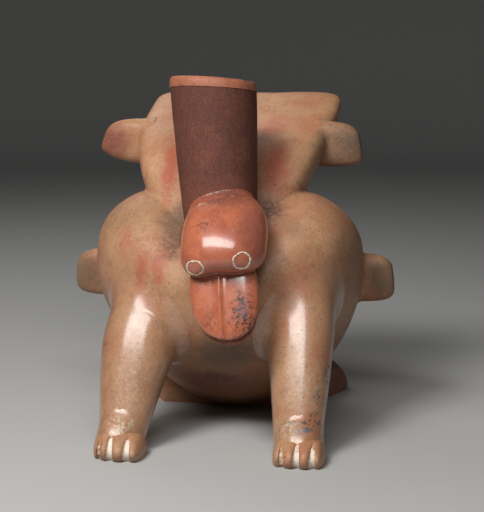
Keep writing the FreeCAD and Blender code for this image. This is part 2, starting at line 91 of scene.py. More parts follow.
def full_turn(count):
    """This many evenly spaced turns once round, from 0."""
    return np.linspace(0, 2 * math.pi, count, endpoint=False)


paper, paper_shader = new_material("pale_paper")
paper_shader.inputs["Base Color"].default_value = (0.38, 0.38, 0.376, 1)
paper_shader.inputs["Roughness"].default_value = 0.85
turn, out = np.meshgrid(full_turn(96), np.linspace(0, 1, 60))
reach = FLOOR_REACH * out
lift = np.clip((reach - FLOOR_FLAT) / (FLOOR_REACH - FLOOR_FLAT), 0, 1)
floor_grid = np.stack([reach * np.cos(turn), reach * np.sin(turn), FLOOR_RISE * lift ** FLOOR_CURVE], -1)
floor = skin_mesh("floor", paper, floor_grid, start=True)

world = bpy.data.worlds.new("studio")
bpy.context.scene.world = world
world.use_nodes = True
sky = world.node_tree.nodes["Background"]
sky.inputs["Color"].default_value, sky.inputs["Strength"].default_value = (0.93, 0.95, 1.0, 1), 0.025

# Each lamp: where it hangs, where it points, its width and height, its watts, and whether it gives gloss
LAMP_COLOUR = (1.0, 0.985, 0.96)
LAMPS = {
    "key": ((-350, -690, 985), (5, -60, 130), (340, 340), 9.0, False),
    "front_strip": ((-150, -738, 850), (5, -60, 140), (1150, 250), 9.6, True),
    "back": ((-420, 700, 900), (0, 20, 150), (520, 400), 1.6, True),
}
for name, (place, towards, size, power, glossy) in LAMPS.items():
    lamp_data = bpy.data.lights.new(name, "AREA")
    lamp_data.shape = "RECTANGLE"
    lamp_data.size, lamp_data.size_y = size[0] * MM, size[1] * MM
    lamp_data.energy, lamp_data.color = power, LAMP_COLOUR
    lamp = bpy.data.objects.new(name, lamp_data)
    lamp.visible_glossy, lamp.visible_camera = glossy, False
    lamp.location = Vector(place) * MM
    lamp.rotation_euler = (Vector(towards) - Vector(place)).to_track_quat("-Z", "Y").to_euler()
    bpy.context.scene.collection.objects.link(lamp)

azimuth, elevation = math.radians(CAMERA_AZIMUTH), math.radians(CAMERA_ELEVATION)
level = math.cos(elevation)
away = Vector((math.sin(azimuth) * level, -math.cos(azimuth) * level, math.sin(elevation)))
camera_data = bpy.data.cameras.new("camera")
camera_data.lens, camera_data.sensor_width = CAMERA_LENS, CAMERA_SENSOR
camera_data.clip_start, camera_data.clip_end = 0.01, 20.0
camera = bpy.data.objects.new("camera", camera_data)
camera.location = (Vector(CAMERA_TARGET) + away * CAMERA_DISTANCE) * MM
camera.rotation_euler = (-away).to_track_quat("-Z", "Y").to_euler()
bpy.context.scene.collection.objects.link(camera)
bpy.context.scene.camera = camera
bpy.context.scene.view_settings.view_transform = "Standard"

# Globular body: a bowl, a wall band and a dome of thick buff clay, luted at two seams, paddled round and
# burnished. The seams were smoothed away, so only a slight unevenness of the hand is left on the skin.
FRONT_Y, BACK_Y = -76.0, 98.0
MIDDLE_Y, HALF_LENGTH = (FRONT_Y + BACK_Y) / 2, (BACK_Y - FRONT_Y) / 2
HALF_WIDTH, BODY_SWAY, TOP_DEPTH = 97.0, 1.5, 61.0
WIDEST_Z, BELLY_DEPTH, SHOULDER_DIP = (104.0, 111.0, 62.0), (78.0, 102.0, 122.0), (34.0, 18.0, 8.0)
LENGTH_EXPONENT, SHOULDER_EXPONENT, BELLY_EXPONENT = 2.3, 2.7, 1.82
DIP_HALF_WIDTH = HALF_WIDTH * 0.68
SOLE_SOFTNESS, SOLE_GAP = 1.2, 0.02
HAND_SWELL, HAND_MEAN = 0.22, 0.8
NEAR_END, NEAR_POLE, TINY, NEWTON_STEPS = 1e-4, 1e-3, 1e-9, 4


def squared(turn, exponent):
    """Cosine and sine of a turn, each raised to 2 over the exponent with its sign kept: a superellipse."""
    c, s = np.cos(turn), np.sin(turn)
    return np.sign(c) * np.abs(c) ** (2 / exponent), np.sign(s) * np.abs(s) ** (2 / exponent)


def parabola(values, along):
    """The parabola through three values at -1, 0 and 1."""
    first, middle, last = values
    return middle + (last - first) / 2 * along + ((first + last) / 2 - middle) * along ** 2


def hand(points):
    """How far the hand's pressure leaves the skin in or out: slow crossed waves over the clay."""
    x, y, z = np.moveaxis(points, -1, 0)
    waves = (np.sin(0.061 * x + 0.043 * y + 0.6) * np.sin(0.052 * z - 0.037 * y + 1.1)
             + 0.6 * np.sin(0.113 * y + 0.071 * z) * np.sin(0.097 * x - 0.054 * z + 2.0)
             + 0.3 * np.sin(0.21 * x + 0.17 * z) * np.sin(0.19 * y - 0.14 * z + 0.7))
    return HAND_SWELL * (waves - HAND_MEAN)


def shoulder_dip(x, along, swell):
    """How far the saddle lies below the shoulders: a squared bell across, zero past its width."""
    inside = np.clip(1 - (x / DIP_HALF_WIDTH) ** 2, 0, 1)
    return parabola(SHOULDER_DIP, along) * swell * inside ** 2


def stepped(share):
    """0 at 0, 1 at 1, and a smooth step in between."""
    share = np.clip(share, 0, 1)
    return share ** 2 * (3 - 2 * share)


def body_skin(turn, way):
    """Superellipse rings across Y, whose size follows a superellipse from chest (way 0) to back (way 1). The
    upper half is shallower and has the saddle, and the underside is pressed flat on the floor."""
    along = -np.cos(math.pi * way)
    swell = (1 - np.abs(along) ** LENGTH_EXPONENT) ** (1 / LENGTH_EXPONENT)
    upper = np.sin(turn) > 0
    cu, su = squared(turn, SHOULDER_EXPONENT)
    cl, sl = squared(turn, BELLY_EXPONENT)
    x = HALF_WIDTH * swell * np.where(upper, cu, cl)
    rise = np.where(upper, TOP_DEPTH * swell * su, parabola(BELLY_DEPTH, along) * swell * sl)
    z = parabola(WIDEST_Z, along) + rise - shoulder_dip(x, along, swell) * stepped(su)
    z = (z + np.sqrt(z ** 2 + 4 * SOLE_SOFTNESS ** 2)) / 2
    return np.stack([BODY_SWAY + x, MIDDLE_Y + HALF_LENGTH * along + 0 * x, z], -1)


def body_level(points):
    """The body's own measure: 0 on the skin, in proportion to the distance from the middle elsewhere."""
    x, y, z = np.moveaxis(points, -1, 0)
    x = x - BODY_SWAY
    along = (y - MIDDLE_Y) / HALF_LENGTH
    held = np.clip(along, -1, 1)
    swell = (1 - np.abs(held) ** LENGTH_EXPONENT) ** (1 / LENGTH_EXPONENT)
    rise = z - parabola(WIDEST_Z, held)
    upper = rise > 0
    top, dip = np.maximum(TOP_DEPTH * swell, 1e-3), shoulder_dip(x, held, swell)
    share = np.clip((rise + dip) / top, 0, 1)
    for _ in range(NEWTON_STEPS):
        share = np.clip(share - (top * share - dip * stepped(share) - rise)
                        / (top - dip * 6 * share * (1 - share)), 0, 1)
    rise = rise + dip * stepped(share) * upper
    depth = np.where(upper, TOP_DEPTH, parabola(BELLY_DEPTH, held))
    power = np.where(upper, SHOULDER_EXPONENT, BELLY_EXPONENT)
    across = (np.abs(x / HALF_WIDTH) ** power + np.abs(rise / depth) ** power + TINY) ** (1 / power)
    return (across ** LENGTH_EXPONENT + np.abs(along) ** LENGTH_EXPONENT) ** (1 / LENGTH_EXPONENT) - 1


def unit(vectors, least=TINY):
    """The vectors at a length of one; one shorter than the least is only divided by it."""
    return vectors / np.maximum(np.linalg.norm(vectors, axis=-1, keepdims=True), least)


def slope(level, points, step=0.5):
    """How the measure changes per millimetre along X, Y and Z."""
    shifts = np.eye(3) * step
    return np.stack([(level(points + s) - level(points - s)) / (2 * step) for s in shifts], -1)


def clearance(level):
    """Distance from a pressed skin, negative inside, from its measure: the measure over its steepness."""
    def measured(points):
        steep = np.linalg.norm(slope(level, points), axis=-1)
        return level(points) / np.maximum(steep, 1e-6) - hand(points)
    return measured


body_clearance = clearance(body_level)


def facing(skin, turn, way, step=1e-3):
    """Unit normals of a skin, pointing away from the middle of each ring."""
    low, high = np.maximum(way - step, 0), np.minimum(way + step, 1)
    round_it, along_it = skin(turn + step, way) - skin(turn - step, way), skin(turn, high) - skin(turn, low)
    normal = unit(np.cross(round_it, along_it))
    points = skin(turn, way)
    outwards = np.einsum("...i,...i->...", points - points.mean(axis=1, keepdims=True), normal)
    return normal * np.sign(outwards.mean())


def pressed(grid, normals):
    """The grid with the hand's unevenness pressed into it along its normals."""
    return grid + normals * hand(grid)[..., None]


def drawn_together(ring):
    """The ring's points all brought to its middle."""
    return np.broadcast_to(ring.mean(axis=-2, keepdims=True), ring.shape)


turns, ways = np.meshgrid(full_turn(320), np.linspace(0, 1, 181))
body_grid = body_skin(turns, np.clip(ways, NEAR_END, 1 - NEAR_END))
body_grid = pressed(body_grid, facing(body_skin, turns, np.clip(ways, NEAR_POLE, 1 - NEAR_POLE)))
body_grid[..., 2] = np.maximum(body_grid[..., 2], SOLE_GAP)
body_grid[0], body_grid[-1] = drawn_together(body_grid[0]), drawn_together(body_grid[-1])


class Reading:
    """A shader socket that takes part in sums like a number, each sum being a Math node."""

    def __init__(self, tree, socket):
        self.tree, self.socket = tree, socket

    def node(self, kind, settings=(), values=()):
        """A node of a kind, its settings made first and then its values or links put in."""
        made = self.tree.nodes.new(kind)
        for key, value in dict(settings).items():
            setattr(made, key, value)
        for key, value in dict(values).items():
            if isinstance(value, Reading):
                self.tree.links.new(value.socket, made.inputs[key])
            else:
                made.inputs[key].default_value = value
        return made

    def node_reading(self, kind, settings, values, output):
        """One output of a new node."""
        return Reading(self.tree, self.node(kind, settings, values).outputs[output])

    def sum(self, operation, *values):
        return self.node_reading("ShaderNodeMath", {"operation": operation}, dict(enumerate(values)), 0)

    def __add__(self, other): return self.sum("ADD", self, other)
    def __sub__(self, other): return self.sum("SUBTRACT", self, other)
    def __mul__(self, other): return self.sum("MULTIPLY", self, other)
    def __truediv__(self, other): return self.sum("DIVIDE", self, other)
    def __pow__(self, other): return self.sum("POWER", self, other)
    def __rsub__(self, other): return self.sum("SUBTRACT", other, self)
    __radd__, __rmul__ = __add__, __mul__

    def under(self, other): return self.sum("MINIMUM", self, other)

    def between(self, low, high):
        """0 below low, 1 above high, and a smooth step in between; low may be the greater."""
        return self.node_reading("ShaderNodeMapRange", {"interpolation_type": "SMOOTHSTEP"},
                                 {"Value": self, "From Min": low, "From Max": high}, "Result")

    def tint(self, first, second):
        """A colour between two, by this share; each is a colour or a Reading of one."""
        first, second = (c if isinstance(c, Reading) else (*c, 1) for c in (first, second))
        return self.node_reading("ShaderNodeMix", {"data_type": "RGBA"}, {0: self, 6: first, 7: second}, 2)


class Place(Reading):
    """A point on the clay in millimetres, from which masks and grain are read."""

    def grain(self, size, detail, rough, seed):
        """Noise from 0 to 1 whose largest spots are about this many millimetres wide."""
        return self.node_reading("ShaderNodeTexNoise", {"noise_dimensions": "4D"},
                                 {"Vector": self, "W": seed, "Scale": 1 / size, "Detail": detail,
                                  "Roughness": rough}, "Fac")

    def pebbles(self, size):
        """Distance from the nearest of many scattered points, in shares of their spacing."""
        return self.node_reading("ShaderNodeTexVoronoi", {"feature": "F1"},
                                 {"Vector": self, "Scale": 1 / size, "Randomness": 1.0}, "Distance")

    def vector(self, operation, other):
        """The place after a Vector Math node with another vector."""
        made = self.node("ShaderNodeVectorMath", {"operation": operation}, {0: self, 1: other})
        return Place(self.tree, made.outputs[0])

    def patch(self, centre, radii, soft):
        """1 in the middle of an oval patch and 0 past its edge, which is soft over this share of it."""
        away = self.vector("SUBTRACT", centre).vector("DIVIDE", radii)
        return self.node_reading("ShaderNodeVectorMath", {"operation": "LENGTH"}, {0: away},
                                 "Value").between(1.0, 1.0 - soft)


def place_on_clay(tree):
    """The place on the vessel in millimetres, from the object's own coordinates."""
    place = Place(tree, tree.nodes.new("ShaderNodeTexCoord").outputs["Object"])
    return place.vector("MULTIPLY", (1 / MM,) * 3)


BUFF, BUFF_PALE = (0.37, 0.18, 0.095), (0.44, 0.245, 0.135)
BUFF_PINK, BUFF_DARK = (0.38, 0.135, 0.07), (0.17, 0.08, 0.045)
RED, RED_DEEP, RED_PALE = (0.45, 0.13, 0.066), (0.32, 0.082, 0.048), (0.50, 0.20, 0.12)
PURPLE, PURPLE_DEEP, PURPLE_WARM = (0.112, 0.042, 0.031), (0.072, 0.028, 0.023), (0.165, 0.058, 0.037)
LIP_WORN, CRUST_WHITE = (0.34, 0.12, 0.068), (0.76, 0.71, 0.62)
GRIT_PALE, GRIT_DARK = (0.62, 0.5, 0.38), (0.03, 0.022, 0.02)
# What lies on the clay: its colour, how far it breaks up into specks, and how far it dulls the burnish; the
# smoky brown one is partly firing clouds and partly painted shade
FINISHES = {"red": ((0.37, 0.10, 0.058), 0.3, 0.0), "rust": ((0.20, 0.066, 0.042), 0.2, 0.12),
            "smoke_and_shade": ((0.115, 0.078, 0.052), 0.2, 0.15), "purple": ((0.085, 0.036, 0.032), 0.75, 0.3),
            "soot": ((0.022, 0.018, 0.018), 1.0, 0.2), "ash": ((0.62, 0.54, 0.43), 1.0, 0.35),
            "orange": ((0.49, 0.155, 0.075), 0.3, 0.0), "plum": ((0.24, 0.078, 0.06), 0.2, 0.05),
            "slate": ((0.06, 0.08, 0.11), 0.4, 0.1)}
# Each stain or patch of painted shade: its finish, its middle, its radii and its strength
VESSEL_STAINS_AND_SHADE = [
    ("red", (-39, -14, 186), (9, 42, 38), 0.95), ("red", (30, 30, 212), (14, 34, 20), 0.6),
    ("red", (37, -12, 186), (14, 30, 34), 0.95), ("purple", (3, -52, 158), (52, 40, 31), 1.0),
    ("rust", (3, -54, 162), (50, 38, 36), 0.5), ("smoke_and_shade", (-62, -26, 150), (42, 44, 24), 0.3),
    # Painted shade: the first patch on the next line darkens the recliner's right flank, which faces away
    # from the key light
    ("smoke_and_shade", (76, 20, 196), (22, 70, 40), 0.6), ("purple", (-29, -62, 139), (14, 18, 20), 0.7),
    ("purple", (37, -36, 157), (16, 22, 19), 0.7),
    ("red", (-50, -66, 116), (7, 16, 24), 0.75), ("red", (-37, -68, 121), (6, 14, 19), 0.75),
    # Painted shade: the patches at (96, 33, 200) and (113, 32, 101) darken the right pair of lugs, which
    # face away from the key light; the patches on the left lugs simply darken those tabs
    ("red", (-64, -54, 137), (9, 14, 15), 0.45), ("rust", (-96, 34, 199), (26, 20, 20), 0.95),
    ("smoke_and_shade", (-112, 32, 99), (20, 20, 24), 0.75), ("smoke_and_shade", (96, 33, 200), (26, 20, 20), 0.95),
    ("smoke_and_shade", (113, 32, 101), (22, 20, 24), 0.85), ("rust", (-4, -34, 30), (60, 44, 34), 1.0),
    # Painted shade: the patch at (8, -62, 60) darkens the chest between the legs and under the bill, where
    # shade falls
    ("purple", (0, -42, 38), (17, 16, 13), 0.8), ("smoke_and_shade", (8, -62, 60), (34, 26, 26), 0.8),
    ("smoke_and_shade", (-30, -46, 151), (15, 22, 28), 0.65), ("smoke_and_shade", (52, -44, 146), (16, 20, 14), 0.4),
    ("smoke_and_shade", (86, -20, 120), (18, 60, 40), 0.4), ("rust", (60, 95, 8), (60, 44, 26), 0.7),
    ("soot", (81, -79, 52), (8, 14, 13), 1.0), ("soot", (65, -108, 23), (15, 12, 6), 1.0),
    ("soot", (74, -102, 26), (9, 12, 9), 1.0), ("soot", (77, -92, 41), (8, 12, 11), 1.0),
    ("slate", (68, -109, 20), (7, 8, 4), 0.9), ("ash", (-54, -114, 21), (15, 12, 6), 1.0),
    ("ash", (60, -110, 21), (14, 10, 5), 0.7), ("ash", (-52, -95, 45), (22, 26, 46), 0.2),
    ("ash", (64, -90, 45), (22, 26, 46), 0.2)]
FACE_STAINS = [
    ("orange", (-12, -98, 152), (15, 22, 20), 0.5), ("plum", (31, -92, 152), (15, 26, 26), 0.6),
    ("plum", (10, -104, 131), (26, 16, 8), 0.4), ("orange", (0, -100, 104), (10, 14, 24), 0.5),
    ("soot", (-2, -102, 159), (11, 16, 12), 0.9), ("slate", (1.5, -106, 156), (3.5, 8, 6), 0.9),
    ("soot", (26, -104, 97), (13, 16, 24), 1.0), ("slate", (23, -104, 118), (6, 10, 3.5), 0.9),
    ("soot", (3, -104, 92), (9, 12, 9), 0.5), ("slate", (27, -104, 101), (6, 10, 9), 0.5),
    ("purple", (9, -80, 187), (44, 44, 32), 1.0), ("soot", (14, -110, 80), (18, 9, 4), 0.7)]


# How far the stains' edges wander and over what length; how fast dull clay loses its coat, and at most
WANDER, WANDER_LENGTH = 13.0, 7
COAT_DULLING, COAT_LOSS = 2.6, 0.95


def darker(colour, share):
    """A colour darkened to this share of itself."""
    values = {0: colour, "Scale": share}
    return colour.node_reading("ShaderNodeVectorMath", {"operation": "SCALE"}, values, 0)


def clay(name, slip, gloss, stains_and_shade=VESSEL_STAINS_AND_SHADE, coat=0.0, shine=0.4, grooves=False):
    """Burnished clay. slip is the slot's own finish: buff, red, purple or lip. Grain, clouds, stain patches
    (some of them painted shade) and specks are read from the place on the vessel, so they run on from piece
    to piece. Grit shows on buff."""
    material, shader = new_material(name)
    tree = material.node_tree
    p = place_on_clay(tree)
    waves = p.node("ShaderNodeTexNoise", (), {"Vector": p, "Scale": 1 / WANDER_LENGTH, "Detail": 4.0})
    wander = Place(tree, waves.outputs["Color"]).vector("SUBTRACT", (0.5,) * 3)
    loose = p.vector("ADD", wander.vector("MULTIPLY", (WANDER,) * 3))

    # The clay's or slip's own colour, clouded and mottled by the firing
    clouds, mottle = p.grain(38, 3, 0.55, 1.0), p.grain(6.5, 4, 0.62, 2.0)
    fine, dust = p.grain(1.5, 2, 0.6, 3.0), p.grain(0.8, 1, 0.5, 4.0)
    strokes = p.vector("MULTIPLY", (1.0, 1.0, 0.16)).grain(1.7, 3, 0.55, 9.0)
    buff = clouds.between(0.35, 0.68).tint(BUFF, BUFF_PALE)
    buff = (p.grain(24, 4, 0.6, 5.0).between(0.46, 0.68) * 0.7).tint(buff, BUFF_PINK)
    buff = (mottle.between(0.5, 0.78) * 0.5).tint(buff, BUFF_DARK)
    red = p.grain(15, 4, 0.6, 6.0).between(0.35, 0.7).tint(RED, RED_DEEP)
    red = (mottle.between(0.45, 0.75) * 0.45).tint(red, RED_PALE)
    purple = (strokes.between(0.3, 0.7) * 0.6).tint(PURPLE, PURPLE_DEEP)
    purple = (p.grain(18, 5, 0.7, 7.0).between(0.48, 0.7) * 0.75).tint(purple, PURPLE_WARM)
    worn = mottle.between(0.5, 0.72).tint(LIP_WORN, PURPLE_WARM)
    shade = {"buff": buff, "red": red, "purple": purple, "lip": worn}[slip]

    # Stains and patches of painted shade with wandering edges, which break up into specks and dull the
    # burnish
    breaks, dull = p.grain(2.4, 3, 0.7, 8.0), p.grain(9, 2, 0.5, 10.0) * 0.05
    for finish, middle, radii, strength in stains_and_shade:
        colour, broken, dulled = FINISHES[finish]
        edge = 0.41 + 0.11 * broken
        solid = breaks.between(edge - 0.5 * (1.1 - broken), edge + 0.08)
        covered = loose.patch(middle, radii, 0.75) * strength * (solid * broken + (1 - broken))
        shade = covered.tint(shade, colour)
        dull = dull + covered * dulled

    # Dark and pale grit, the fine grain between it, and the strokes of the burnishing stone
    specks = (p.pebbles(2.9).between(0.2, 0.1) * p.grain(20, 2, 0.5, 8.0).between(0.47, 0.6)).under(1.0)
    flecks = p.vector("ADD", (31.0, 17.0, 5.0)).pebbles(3.3).between(0.17, 0.08)
    shade = (fine.between(0.35, 0.75) * 0.42).tint(shade, darker(shade, 0.45))
    shade = (dust.between(0.5, 0.85) * 0.26).tint(shade, BUFF_PALE if slip in ("buff", "lip") else RED_PALE)
    shade = (flecks * (0.28 if slip == "buff" else 0.05)).tint(shade, GRIT_PALE)
    shade = (specks * (0.8 if slip == "buff" else 0.4)).tint(shade, GRIT_DARK)
    roughness = gloss + dull + (mottle - 0.5) * 0.2 + (fine - 0.5) * 0.12 + specks * 0.2
    height = strokes * 0.03 + mottle * 0.2 + dust * 0.03 - specks * 0.12 + flecks * 0.03
    if grooves:
        hollow = Reading(tree, p.node("ShaderNodeAttribute", {"attribute_name": "groove"}).outputs["Fac"])
        crust = (hollow + (breaks - 0.5) * 1.3).between(0.42, 0.62) * hollow.between(0.1, 0.25)
        shade = (crust * (0.5 + fine * 0.6)).under(1.0).tint(shade, CRUST_WHITE)
        roughness = roughness + crust * 0.4
    tree.links.new(shade.socket, shader.inputs["Base Color"])
    tree.links.new(roughness.socket, shader.inputs["Roughness"])
    if coat:
        lasting = coat * (1 - (dull * COAT_DULLING).under(COAT_LOSS))
        tree.links.new(lasting.socket, shader.inputs["Coat Weight"])
        shader.inputs["Coat Roughness"].default_value = gloss * 0.5
    shader.inputs["Specular IOR Level"].default_value = shine
    bump = p.node("ShaderNodeBump", (), {"Height": height * MM, "Distance": 1.0, "Strength": 0.6})
    tree.links.new(bump.outputs["Normal"], shader.inputs["Normal"])
    return material


buff_clay = clay("burnished_buff_clay", "buff", 0.46, shine=0.45)
body = skin_mesh("burnished_body", buff_clay, body_grid, start=True, end=True)
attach(body, "root")
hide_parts("upper_body_shell", "middle_body_shell", "lower_body_shell")

# Recliner: a hollow slab of clay, two sheets luted along their edges, that climbs steeply out of the body
# behind the spout and then lies back. Its face is hollowed like a seat and its far edge is rounded.
RECLINER_ROOT, RECLINER_RUN, RECLINER_RISE = (-27.0, 112.0), 124.0, 118.0
RECLINER_HALF_WIDTH, RECLINER_HALF_THICKNESS, RECLINER_VALLEY, RECLINER_SWAY = 73.0, 32.0, 10.0, 4.0
RECLINER_EXPONENT, VALLEY_EXPONENT, EDGE_SHARE = 2.7, 1.5, 0.90
RUN_SHARES, RISE_SHARES = (0.0, 0.12, 0.31, 0.63, 1.0), (0.0, 0.29, 0.60, 0.82, 1.0)
WIDTH_SHARES, THICKNESS_SHARES = (0.50, 0.66, 0.88, 0.98, 0.98), (1.0, 0.95, 0.78, 0.55, 0.38)
VALLEY_SHARES, SWAY_SHARES = (0.0, 0.5, 1.0, 1.0, 0.5), (0.5, -0.2, -0.4, 0.3, 1.3)
RECLINER_FILLET = 3.5
# The fillets: how proud a luted edge stays, how deep and in how many rings a root closes inside the wall and
# how wide the last of these is, the least share of a slope that leads out, and the ring that counts as a tip
LUTED_PROUD, ROOT_SINK, CAP_RINGS, CAP_SPREAD, LEAST_LEAD, CLOSED_TIP = 0.03, 2.0, 9, 0.97, 0.35, 1.0


def eased(shares, at):
    """A Catmull-Rom curve through evenly spaced shares."""
    place = np.clip(at, 0, 1) * (len(shares) - 1)
    i = np.minimum(place.astype(int), len(shares) - 2)
    t = place - i
    padded = np.array([shares[0], *shares, shares[-1]])
    before, here, there, after = (padded[i + k] for k in range(4))
    return 0.5 * (2 * here + (there - before) * t + (2 * before - 5 * here + 4 * there - after) * t ** 2
                  + (3 * here - before - 3 * there + after) * t ** 3)


def spine(share):
    """Middle of the recliner's thickness, and the unit vector square to it on the leaning side."""
    middle = np.stack([RECLINER_SWAY * eased(SWAY_SHARES, share),
                       RECLINER_ROOT[0] + RECLINER_RUN * eased(RUN_SHARES, share),
                       RECLINER_ROOT[1] + RECLINER_RISE * eased(RISE_SHARES, share)], -1)
    low, high = np.maximum(share - 0.01, 0), np.minimum(share + 0.01, 1)
    run = RECLINER_RUN * (eased(RUN_SHARES, high) - eased(RUN_SHARES, low))
    rise = RECLINER_RISE * (eased(RISE_SHARES, high) - eased(RISE_SHARES, low))
    length = np.hypot(run, rise)
    return middle, np.stack([0 * run, -rise / length, run / length], -1)


def recliner_skin(turn, way):
    """Superellipse rings square to the bent spine, sunk along the middle of the face by a bell, their edges
    closing on the last stretch as a quarter circle."""
    middle, normal = spine(way)
    half_width = RECLINER_HALF_WIDTH * eased(WIDTH_SHARES, way)
    half_thickness = RECLINER_HALF_THICKNESS * eased(THICKNESS_SHARES, way)
    past = np.clip(way - EDGE_SHARE, 0, None) / (1 - EDGE_SHARE)
    rounding = np.sqrt(np.clip(1 - past ** 2, 0, 1))
    c, s = squared(turn, RECLINER_EXPONENT)
    valley = RECLINER_VALLEY * eased(VALLEY_SHARES, way) * np.clip(1 - c ** 2, 0, 1) ** VALLEY_EXPONENT
    rise = rounding * (half_thickness * s - np.where(s > 0, valley, 0))
    point = middle + normal * rise[..., None]
    point[..., 0] += (half_width - half_thickness * (1 - rounding)) * c
    return point


# The place on the spine that is nearest to each spot of a side view, this many millimetres apart
SPOT = 2.0
SIDE_Y, SIDE_Z = np.arange(-120.0, 160.0, SPOT), np.arange(40.0, 280.0, SPOT)
stations = np.linspace(0, 1, 401)
station_middles = spine(stations)[0]
nearest = stations[((SIDE_Y[:, None, None] - station_middles[:, 1]) ** 2
                    + (SIDE_Z[None, :, None] - station_middles[:, 2]) ** 2).argmin(-1)]


def nearest_share(y, z):
    """The nearest place on the spine, read between four spots of the side view."""
    row = np.clip((y - SIDE_Y[0]) / SPOT, 0, len(SIDE_Y) - 1.001)
    col = np.clip((z - SIDE_Z[0]) / SPOT, 0, len(SIDE_Z) - 1.001)
    i, j = row.astype(int), col.astype(int)
    u, v = row - i, col - j
    return ((nearest[i, j] * (1 - v) + nearest[i, j + 1] * v) * (1 - u)
            + (nearest[i + 1, j] * (1 - v) + nearest[i + 1, j + 1] * v) * u)


def recliner_level(points):
    """The recliner's own measure: the ring's superellipse at the nearest place on the spine."""
    share = nearest_share(points[..., 1], points[..., 2])
    middle, normal = spine(share)
    x, h = points[..., 0] - middle[..., 0], ((points - middle) * normal).sum(-1)
    half_width = RECLINER_HALF_WIDTH * eased(WIDTH_SHARES, share)
    half_thickness = RECLINER_HALF_THICKNESS * eased(THICKNESS_SHARES, share)
    bell = np.clip(1 - (x / half_width) ** 2, 0, 1) ** VALLEY_EXPONENT
    h = h + np.where(h > 0, RECLINER_VALLEY * eased(VALLEY_SHARES, share) * bell, 0)
    e = RECLINER_EXPONENT
    return (np.abs(x / half_width) ** e + np.abs(h / half_thickness) ** e + TINY) ** (1 / e) - 1


recliner_clearance = clearance(recliner_level)


def settled(points, host, clear):
    """The points moved up or down the host's slope, in three steps, until they stand this clear of it."""
    for _ in range(3):
        points = points - unit(slope(host, points)) * (host(points) - clear)[..., None]
    return points


def planted(skin, count, host, fillet, rows=90, low=0.0):
    """The part of a skin that stands clear of its host, with a fillet of clay round its root.

    Each column starts where it last leaves the host, and its rows crowd towards that end. A point whose
    clearance is d, less than the fillet k, moves out across the host by the square of (root k - root d),
    which is a parabola that touches both skins. Below the first row the root goes on into the host's wall
    and closes."""
    turn, fine = np.meshgrid(full_turn(count), np.linspace(low, 1, 400))
    inside = host(skin(turn, fine))
    last = len(fine) - 1 - np.argmax((inside < 0)[::-1], axis=0)
    last = np.where((inside < 0).any(axis=0), np.minimum(last, len(fine) - 2), 0)
    cols = np.arange(count)
    here, there = inside[last, cols], inside[last + 1, cols]
    share = np.where(here < 0, here / np.minimum(here - there, -TINY), 0.0)
    root = fine[last, 0] + share * (fine[1, 0] - fine[0, 0])
    turn, climb = np.meshgrid(full_turn(count), np.linspace(0, 1, rows) ** 1.5)
    way = root + (1 - root) * climb
    normal = facing(skin, turn, np.clip(way, low + NEAR_END, 1 - NEAR_END))
    point = pressed(skin(turn, way), normal)
    clear = np.maximum(host(point), 0) + LUTED_PROUD
    uphill = unit(slope(host, point))
    across = unit(normal - uphill * np.einsum("...i,...i->...", normal, uphill)[..., None], LEAST_LEAD)
    reach = np.where(clear < fillet, (math.sqrt(fillet) - np.sqrt(clear)) ** 2, 0.0)[..., None]
    moved = point + across * reach
    moved = np.where(reach > 0, settled(moved, host, clear), moved)
    hub, spread = moved[0].mean(axis=0), np.linspace(0.0, CAP_SPREAD, CAP_RINGS)[:, None, None]
    cap = settled(hub + (moved[0] - hub) * spread, host, -ROOT_SINK)
    grid = np.concatenate([drawn_together(cap[:1]), cap[1:], moved])
    if np.ptp(grid[-1], axis=0).max() < CLOSED_TIP:
        grid[-1] = drawn_together(grid[-1])
    return grid


recliner_grid = planted(recliner_skin, 300, body_clearance, RECLINER_FILLET, rows=150)
edge = recliner_grid[-1]
recliner_grid[-1] = (edge + edge[-np.arange(len(edge))]) / 2  # face and back meet along the far edge
recliner = skin_mesh("burnished_recliner", buff_clay, recliner_grid, start=True)
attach(recliner, "root")
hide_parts("recliner_front_slab", "recliner_back_slab")

# Spout: a flaring tube of coiled clay that leans back and to one side, slipped in dark purple-brown and
# burnished upright. Its root opens into the body, and a coil of clay makes its lip.
SPOUT_RIM, SPOUT_FOOT = np.array([-4.5, -33.0, 248.0]), np.array([3.5, -50.0, 150.0])
SPOUT_ROOT_DEPTH, SPOUT_ROOT_BEND = 34.0, 13.0
SPOUT_RIM_RADIUS, SPOUT_FOOT_RADIUS, SPOUT_FLARE, SPOUT_WALL = 30.5, 24.5, 0.7, 5.0
SPOUT_RIM_FACING = np.array([0.05, 0.13, 0.99])
LIP_HEIGHT, LIP_LOWER, LIP_OVERHANG, LIP_EXPONENT = 7.0, 0.15, 0.25, 2.3
SPOUT_LENGTH = float(np.linalg.norm(SPOUT_RIM - SPOUT_FOOT))
SPOUT_AXIS = (SPOUT_RIM - SPOUT_FOOT) / SPOUT_LENGTH
SPOUT_LOW, SPOUT_TOP = -SPOUT_ROOT_DEPTH / SPOUT_LENGTH, 1 - (LIP_HEIGHT + LIP_LOWER) / SPOUT_LENGTH
SPOUT_FILLET, SPOUT_COLUMNS = 6.0, 160


def spout_ring(share):
    """The tube's middle and outer radius at a share of its height: the radius grows by a power of the share,
    and below the foot the middle bends back by a square."""
    middle = SPOUT_FOOT + (SPOUT_RIM - SPOUT_FOOT) * share[..., None]
    middle[..., 1] += SPOUT_ROOT_BEND * (np.clip(-share, 0, None) * SPOUT_LENGTH / SPOUT_ROOT_DEPTH) ** 2
    growth = (SPOUT_RIM_RADIUS - SPOUT_FOOT_RADIUS) * np.clip(share, 0, 1) ** SPOUT_FLARE
    return middle, SPOUT_FOOT_RADIUS + growth


